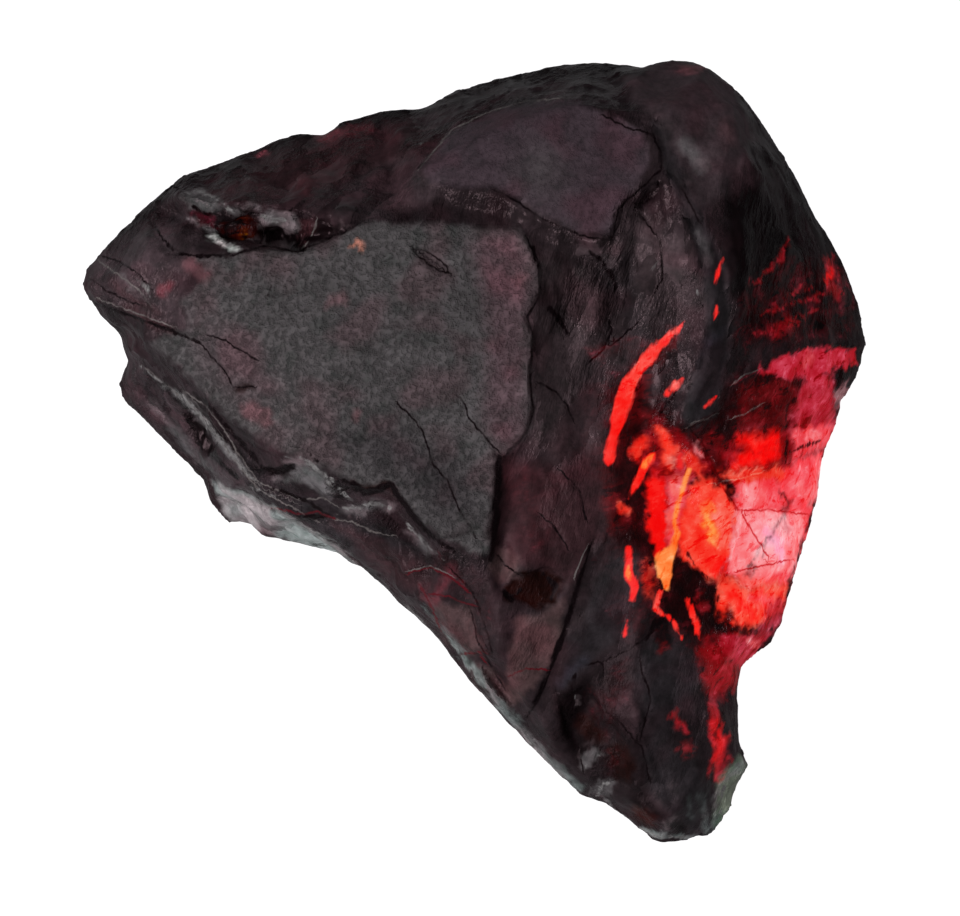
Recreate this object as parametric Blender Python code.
# Rough painite: one broken lump of a deep red crystal, resting on a flat cleavage face.

import math

import bmesh
import bpy
from mathutils import Vector, geometry, noise

# The stone's real size, in metres
MILLIMETRE = 0.001
STONE_WIDTH = 0.036  # left tip to right bulge
MIDDLE_HEIGHT = 0.0105  # height of the landmarks' zero depth over the resting face
FOOTPRINT_MIDDLE = Vector((-0.0002, 0.0010, 0.0))  # brings the footprint's middle to the origin

# Landmarks are read from a picture of the stone as (across, down, depth): pixels, pixels and millimetres
# towards the eye, which looks down at it from the front.
PICTURE_WIDTH = 784  # the stone's width in that picture
PICTURE_MIDDLE = (480, 458)
PICTURE_TILT = math.radians(65)
EYE_DISTANCE = 0.300

# The outline, from the left tip over the top to the right, and back along the lower left edge
RIM = [
    (82, 288, -1), (86, 268, -1.2), (118, 232, -1.5), (148, 205, -1.8), (180, 178, -2), (200, 170, -2),
    (250, 150, -1.5), (300, 132, -1.2), (325, 134, -1), (340, 122, -1.2), (380, 111, -1.5),
    (420, 108, -1.5), (455, 90, -2), (500, 78, -2), (555, 65, -2), (600, 62, -1.5), (640, 66, -1),
    (660, 61, -0.5), (692, 60, -0.5), (715, 72, -1), (742, 95, -1.5), (765, 125, -2), (790, 165, -2.5),
    (815, 215, -3), (842, 258, -3.5), (858, 300, -4), (866, 340, -4), (862, 365, -4), (842, 400, -4.5),
    (838, 425, -5), (822, 460, -5), (818, 500, -5), (805, 545, -4.5), (790, 590, -4), (782, 625, -4),
    (765, 648, -3.5), (742, 668, -3), (738, 690, -2.5), (740, 740, -2), (747, 765, -2), (737, 785, -2),
    (732, 808, -2), (712, 837, -2), (680, 843, -1.5), (655, 842, -1.5), (632, 822, -1.5),
    (605, 803, -1.5), (580, 797, -1.5), (550, 768, -1.5), (500, 715, -1.5), (460, 670, -2),
    (430, 630, -2), (400, 603, -2), (370, 572, -2.5), (335, 552, -3.5), (290, 541, -4.5),
    (265, 535, -4.5), (248, 524, -5), (228, 524, -5.5), (212, 505, -5.5), (203, 480, -5.5),
    (165, 440, -5), (122, 400, -4.5), (117, 385, -4.5), (127, 360, -4), (120, 335, -3), (100, 315, -2),
]

# Crests and feet of the front's faces, each a line whose steps stay edges of the stone
FRONT_LINES = {
    "plateau edge": [
        (190, 262, 2.6), (250, 252, 3.6), (300, 250, 4.2), (345, 238, 4.6), (400, 228, 5), (455, 226, 5.3),
        (515, 232, 5.4), (535, 262, 5.4), (540, 285, 5.4), (528, 320, 5.6), (530, 380, 5.6),
        (522, 430, 5.4), (500, 452, 5.2), (492, 520, 4.8), (482, 565, 4.2), (440, 548, 4.2),
        (400, 488, 4.4), (360, 490, 4.2), (330, 472, 4.2), (290, 455, 4), (255, 440, 3.4),
        (215, 405, 2.8), (180, 370, 2), (150, 345, 1.2), (180, 300, 2.4), (190, 262, 2.6),
    ],
    "crevice lip": [(185, 195, 1.5), (215, 203, 2.4), (250, 203, 3.2), (300, 208, 3.8), (350, 212, 4.4)],
    "crevice floor": [(200, 225, 1.2), (240, 228, 1.5), (275, 240, 1.6), (300, 235, 2.2)],
    "upper plate edge": [
        (430, 168, 4.4), (470, 140, 4.2), (520, 118, 4), (580, 104, 3.9), (635, 112, 4.2), (655, 140, 4.6),
        (650, 165, 5), (625, 190, 5.4), (615, 225, 5.7), (600, 240, 5.9), (560, 222, 5.8),
        (530, 205, 5.6), (495, 190, 5.4), (455, 186, 5), (430, 168, 4.4),
    ],
    "fibrous ridge": [
        (662, 115, 4.4), (668, 150, 4.6), (690, 205, 5.2), (700, 250, 5.4), (715, 300, 5), (705, 350, 4.6),
        (695, 400, 4), (690, 425, 3.6),
    ],
    "right shoulder": [(728, 148, 3.9), (716, 196, 4.5), (718, 230, 4.5), (726, 262, 4.3)],
    "right ledge": [(720, 370, 4.2), (755, 372, 2.4), (800, 348, 0.8), (858, 345, -3)],
    "right ledge foot": [(715, 425, 2.8), (770, 385, 1.6), (800, 400, 0.2), (830, 395, -2)],
    "lower diagonal": [(595, 545, 3.8), (570, 590, 3.6), (548, 640, 3.2), (530, 690, 2.2), (545, 720, 1.6)],
    "near edge": [
        (400, 590, 0.4), (430, 615, 0.4), (474, 656, 0.3), (525, 720, 0.2), (560, 757, 0.2), (600, 785, 0),
    ],
    "left crest": [
        (131, 350, -1), (150, 365, -0.5), (180, 390, 0), (200, 420, 0.4), (225, 455, 0.8), (250, 485, 1),
        (280, 505, 1.2), (310, 520, 1), (335, 535, 0.6), (360, 560, 0), (384, 576, -0.4), (400, 590, 0.4),
    ],
}

# Single places of the front, by the face that they lie on
FRONT_SPOTS = {
    "plateau": [(190, 335, 2.4), (350, 350, 5.6), (430, 330, 5.9), (260, 340, 4.4)],
    "left tip": [(150, 250, 1.8), (100, 285, 0.4), (140, 295, 1.4), (120, 320, 0.2)],
    "band under the plate": [(400, 212, 4.3), (455, 208, 4.7), (500, 215, 4.9), (540, 235, 4.9)],
    "middle hollows": [
        (560, 250, 5), (580, 300, 4.4), (560, 340, 4.6), (600, 260, 5), (625, 290, 4.6), (600, 330, 4.4),
        (650, 330, 4.2), (560, 400, 4.6), (600, 400, 4), (640, 430, 3.2), (664, 180, 5), (640, 215, 4.5),
        (545, 320, 5), (546, 375, 4.9), (512, 458, 4.7), (505, 520, 4.1), (500, 568, 3.5),
    ],
    "upper right": [
        (640, 80, 1.8), (700, 75, 1.2), (720, 110, 2.6), (695, 150, 4.3), (745, 110, 0.5),
        (735, 200, 3.7), (760, 180, 2.4), (790, 240, 1), (745, 260, 3.6), (820, 290, -0.8), (760, 320, 2.6),
        (800, 325, 0.6), (745, 335, 3),
    ],
    "glowing facets": [
        (690, 450, 2.6), (725, 480, 1.8), (750, 470, 1.2), (800, 470, -1.6), (650, 500, 2.6),
        (690, 520, 2.4), (735, 520, 1.2), (725, 580, 1), (675, 590, 2.2), (780, 500, -1), (780, 560, -1.2),
        (740, 600, 0.6), (735, 640, 0.4), (765, 620, -1.5),
    ],
    "lower middle": [
        (560, 440, 4.6), (600, 470, 3.9), (560, 520, 4.2), (520, 560, 4.2), (600, 560, 3.6),
        (640, 560, 3.2), (640, 610, 3), (665, 640, 2.2), (500, 600, 3.8), (500, 650, 3), (490, 690, 1.2),
        (440, 600, 2.4), (460, 640, 1.6),
    ],
    "left ledges": [
        (215, 430, 1.6), (240, 450, 1.8), (260, 470, 2), (300, 480, 2.6), (330, 495, 2.4), (350, 512, 1.8),
        (380, 510, 3), (400, 520, 3), (420, 545, 2.6), (440, 570, 3), (460, 585, 3), (350, 535, 1.6),
        (400, 560, 1.6), (380, 560, 1.2),
    ],
    "left foot": [(150, 400, -3), (185, 430, -2.5), (215, 490, -3.5), (250, 505, -3.5), (290, 530, -3.6)],
    "lower tip": [
        (600, 640, 2.8), (640, 670, 2.6), (590, 700, 1.6), (640, 720, 2.4), (600, 760, 0.6),
        (640, 800, 0.2), (680, 800, 0.8), (700, 770, 0.8), (700, 700, 1.6), (720, 720, 0.4),
        (720, 660, 1), (735, 760, -0.8), (712, 816, -1), (665, 820, 0.4),
    ],
}

# The hidden side: the corners of the resting face, then places on the flanks around it
REST_CORNERS = [
    (262, 414), (306, 305), (436, 262), (611, 284), (670, 380), (640, 523), (650, 670), (633, 774),
    (545, 698), (415, 567),
]
REST_SUNK = 0.5  # millimetres that those corners lie below the cut that makes the face
FLANK_LINES = {
    "back ledge": [(215, 205, -5), (300, 165, -5.4), (400, 138, -5), (500, 112, -5.6), (590, 97, -5.2)],
    "back ledge foot": [
        (232, 228, -5.6), (312, 190, -6.3), (405, 165, -5.8), (505, 140, -6.5), (595, 122, -6),
    ],
    "right rib": [(730, 125, -5), (775, 220, -7), (806, 330, -8.5), (775, 430, -7.5), (765, 530, -5.5)],
}
FLANK_SPOTS = [
    (160, 330, -7.5), (190, 290, -9), (262, 268, -9.5), (350, 222, -9.2), (480, 185, -10),
    (612, 185, -10), (690, 200, -9), (700, 120, -4.2), (820, 260, -6), (838, 345, -6.6),
    (720, 320, -11), (720, 640, -4.2), (700, 780, -4), (590, 770, -4.2), (490, 675, -5.6),
    (360, 540, -7.5), (270, 490, -8.5), (190, 430, -8),
]

# How rough each face is broken, as a share of the full chipping
SMOOTH_FACES = {
    "plateau edge": 0.25, "plateau": 0.12, "upper plate edge": 0.2, "near edge": 0.3, "left crest": 0.5,
    "resting face": 0.3,
}
USUAL_ROUGHNESS = 1.0
RIM_ROUGHNESS = 0.12

# Chips and swells of the broken faces, sizes and depths in millimetres
SWELL_SIZE, SWELL_DEPTH = 7.0, 0.25
SCOOPS = [(3.2, 0.55), (1.5, 0.22)]
SCOOP_MEAN = 0.25  # taken off each scoop, so that the surface keeps its place on the whole
STEPS = [(2.4, 0.34), (1.1, 0.18)]
STEP_OFFSET = Vector((3.1, 1.7, 5.3))  # sets the flakes apart from the scoops
STEP_RISE = 0.4  # how far a whole flake stands out, as a share of its tilt
TILT_SPREAD = 7.3  # far enough apart for neighbouring flakes to tilt differently
GRAIN_STRETCH = 2.0  # the breaks run about twice as long up the picture as across it
NOISE_SEED = 2  # any whole number but 0, which would give other flakes on each run

# How the surface between the landmarks is made
CREST_ANGLE = math.radians(16)  # two faces that meet at more than this keep a crisp edge
CHORD_LIFT = 0.2  # of the length of an edge that crosses the stone from rim to rim
LONGEST_EDGE = 0.00055
HALVINGS = 6
SOFTENING, SOFTENING_PASSES = 0.5, 5
TRIANGLES = 9400
SHADED_EDGE = math.radians(25)  # an edge sharper than this is shaded as an edge
PICTURE_TOLERANCE = 0.01  # pixels
RIM_TOLERANCE = 1e-6
CUT_TOLERANCE = 1e-7
INSIDE_THE_RIM = 1  # Blender's number for a triangulation that stops at its outline

WINE_RED = (0.045, 0.012, 0.016, 1)


def view_axes():
    right = Vector((1, 0, 0))
    up = Vector((0, math.sin(PICTURE_TILT), math.cos(PICTURE_TILT)))
    return right, up, right.cross(up)


def place(across, down, depth):
    """Where a landmark lies in the stone's own frame, in metres."""
    right, up, towards = view_axes()
    pixel = STONE_WIDTH / PICTURE_WIDTH * (1 - depth * MILLIMETRE / EYE_DISTANCE)
    middle = Vector((0, 0, MIDDLE_HEIGHT)) - FOOTPRINT_MIDDLE
    return (
        middle
        + right * (across - PICTURE_MIDDLE[0]) * pixel
        + up * (PICTURE_MIDDLE[1] - down) * pixel
        + towards * depth * MILLIMETRE
    )


def rest_depth(down):
    """The depth, in millimetres, of the resting face under a given height of the picture."""
    pixel = STONE_WIDTH / PICTURE_WIDTH / MILLIMETRE
    rise = (PICTURE_MIDDLE[1] - down) * pixel * math.cos(PICTURE_TILT)
    return -(MIDDLE_HEIGHT / MILLIMETRE + rise) / math.sin(PICTURE_TILT) - REST_SUNK


def sheet(lines, spots):
    """One side of the stone: triangles between its landmarks, inside the rim, with the lines as edges."""
    landmarks = {(x, y): (depth, RIM_ROUGHNESS) for x, y, depth in RIM}
    for name, points in [*lines.items(), *spots.items()]:
        for x, y, depth in points:
            landmarks.setdefault((x, y), (depth, SMOOTH_FACES.get(name, USUAL_ROUGHNESS)))
    order = {spot: index for index, spot in enumerate(landmarks)}
    steps = [
        (order[a[:2]], order[b[:2]]) for points in lines.values() for a, b in zip(points, points[1:])
    ]
    flat = [Vector(spot) for spot in landmarks]
    corners, _, triangles, sources, _, _ = geometry.delaunay_2d_cdt(
        flat, steps, [list(range(len(RIM)))], INSIDE_THE_RIM, PICTURE_TOLERANCE
    )
    if len(corners) != len(flat):
        raise ValueError("two landmark lines cross")
    side = bmesh.new()
    roughness = side.verts.layers.float.new("roughness")
    made = []
    for corner, source in zip(corners, sources):
        depth, rough = landmarks[tuple(flat[source[0]])]
        vertex = side.verts.new(place(*flat[source[0]], depth))
        vertex[roughness] = rough
        made.append((source[0], vertex))
    by_source = dict(made)
    for triangle in triangles:
        side.faces.new([made[corner][1] for corner in triangle])
    for start, end in steps:
        side.edges.get((by_source[start], by_source[end])).seam = True
    side.normal_update()
    for edge in side.edges:
        if edge.is_boundary or edge.calc_face_angle() > CREST_ANGLE:
            edge.seam = True
    return side


def swell_chords(side, direction):
    """Lift the middle of each inner edge that joins two rim points, so that no corner is paper thin."""
    towards = view_axes()[2] * direction
    chords = [
        edge for edge in side.edges
        if not edge.is_boundary and all(vertex.is_boundary for vertex in edge.verts)
    ]
    for edge in chords:
        lift = towards * edge.calc_length() * CHORD_LIFT
        first = edge.verts[0]
        _, middle = bmesh.utils.edge_split(edge, first, 0.5)
        middle.co += lift
    bmesh.ops.triangulate(side, faces=[face for face in side.faces if len(face.verts) > 3])


def refine(side):
    """Halve the long edges, again and again, down to the stone's finest step."""
    for _ in range(HALVINGS):
        long_edges = [edge for edge in side.edges if edge.calc_length() > LONGEST_EDGE]
        bmesh.ops.subdivide_edges(side, edges=long_edges, cuts=1)
        bmesh.ops.triangulate(side, faces=[face for face in side.faces if len(face.verts) > 3])


def join_sides(front, back):
    """Both sides in one closed mesh, merged along the rim alone."""
    stone = bmesh.new()
    for side in (front, back):
        mesh = bpy.data.meshes.new("side")
        side.to_mesh(mesh)
        side.free()
        stone.from_mesh(mesh)
        bpy.data.meshes.remove(mesh)
    rim = [vertex for vertex in stone.verts if vertex.is_boundary]
    bmesh.ops.remove_doubles(stone, verts=rim, dist=RIM_TOLERANCE)
    bmesh.ops.recalc_face_normals(stone, faces=stone.faces)
    return stone


def soften(stone):
    """Round the faces between the crests, and leave the crests."""
    soft = [vertex for vertex in stone.verts if not any(edge.seam for edge in vertex.link_edges)]
    for _ in range(SOFTENING_PASSES):
        bmesh.ops.smooth_vert(
            stone, verts=soft, factor=SOFTENING, use_axis_x=True, use_axis_y=True, use_axis_z=True
        )


def scoop(spot, size):
    """Shell-shaped scoops that meet in sharp crests, between about -0.25 and 0.5."""
    distances, _ = noise.voronoi(spot / size)
    return distances[0] ** 2 - SCOOP_MEAN


def step(spot, size):
    """Flat tilted flakes that step at their borders, between about -0.5 and 0.5."""
    spot = spot / size + STEP_OFFSET
    _, seeds = noise.voronoi(spot)
    tilt = noise.noise_vector(seeds[0] * TILT_SPREAD)
    return tilt.dot(spot - seeds[0]) + STEP_RISE * tilt.x


def break_surface(stone):
    """Swell and chip the faces, each by its own roughness."""
    noise.seed_set(NOISE_SEED)
    roughness = stone.verts.layers.float["roughness"]
    stone.normal_update()
    grain = view_axes()[1]
    moves = []
    for vertex in stone.verts:
        spot = vertex.co / MILLIMETRE
        spot -= grain * spot.dot(grain) * (1 - 1 / GRAIN_STRETCH)
        depth = SWELL_DEPTH * noise.noise(spot / SWELL_SIZE)
        depth += sum(scoop_depth * scoop(spot, size) for size, scoop_depth in SCOOPS)
        depth += sum(step_depth * step(spot, size) for size, step_depth in STEPS)
        moves.append(vertex.normal * depth * vertex[roughness] * MILLIMETRE)
    for vertex, move in zip(stone.verts, moves):
        vertex.co += move


def cut_rest(stone):
    """Cut the flat face that the stone rests on."""
    cut = bmesh.ops.bisect_plane(
        stone,
        geom=[*stone.verts, *stone.edges, *stone.faces],
        dist=CUT_TOLERANCE,
        plane_co=(0, 0, 0),
        plane_no=(0, 0, -1),
        clear_outer=True,
    )
    border = [part for part in cut["geom_cut"] if isinstance(part, bmesh.types.BMEdge)]
    bmesh.ops.contextual_create(stone, geom=border)
    bmesh.ops.triangulate(stone, faces=[face for face in stone.faces if len(face.verts) > 3])
    bmesh.ops.recalc_face_normals(stone, faces=stone.faces)


def painite_material():
    material = bpy.data.materials.new("painite")
    material.use_nodes = True
    shader = material.node_tree.nodes["Principled BSDF"]
    shader.inputs["Base Color"].default_value = WINE_RED
    shader.inputs["Roughness"].default_value = 0.35
    shader.inputs["IOR"].default_value = 1.8
    material.diffuse_color = WINE_RED
    return material


def make_side(lines, spots, direction):
    side = sheet(lines, spots)
    swell_chords(side, direction)
    refine(side)
    return side


def thin(stone, collection):
    """The worked surface with far fewer triangles, on an object of its own."""
    ratio = min(1.0, TRIANGLES / len(stone.faces))
    mesh = bpy.data.meshes.new("painite_stone")
    stone.to_mesh(mesh)
    stone.free()
    rough = bpy.data.objects.new("painite_stone", mesh)
    collection.objects.link(rough)
    rough.modifiers.new("thinning", "DECIMATE").ratio = ratio
    thinned = bpy.data.meshes.new_from_object(
        rough.evaluated_get(bpy.context.evaluated_depsgraph_get())
    )
    rough.modifiers.clear()
    rough.data = thinned
    bpy.data.meshes.remove(mesh)
    return rough


def build_stone(collection):
    hidden = {
        "resting face": [(x, y, rest_depth(y)) for x, y in REST_CORNERS],
        "flanks": FLANK_SPOTS,
    }
    front = make_side(FRONT_LINES, FRONT_SPOTS, 1)
    back = make_side(FLANK_LINES, hidden, -1)
    whole = join_sides(front, back)
    soften(whole)
    break_surface(whole)
    stone = thin(whole, collection)
    closed = bmesh.new()
    closed.from_mesh(stone.data)
    cut_rest(closed)
    closed.to_mesh(stone.data)
    closed.free()
    stone.data.name = "painite_stone"
    stone.data.materials.append(painite_material())
    stone.data.shade_smooth()
    stone.data.set_sharp_from_angle(angle=SHADED_EDGE)


def main():
    for thing in list(bpy.data.objects):
        bpy.data.objects.remove(thing)
    collection = bpy.data.collections.new("rough_painite")
    bpy.context.scene.collection.children.link(collection)
    build_stone(collection)


main()
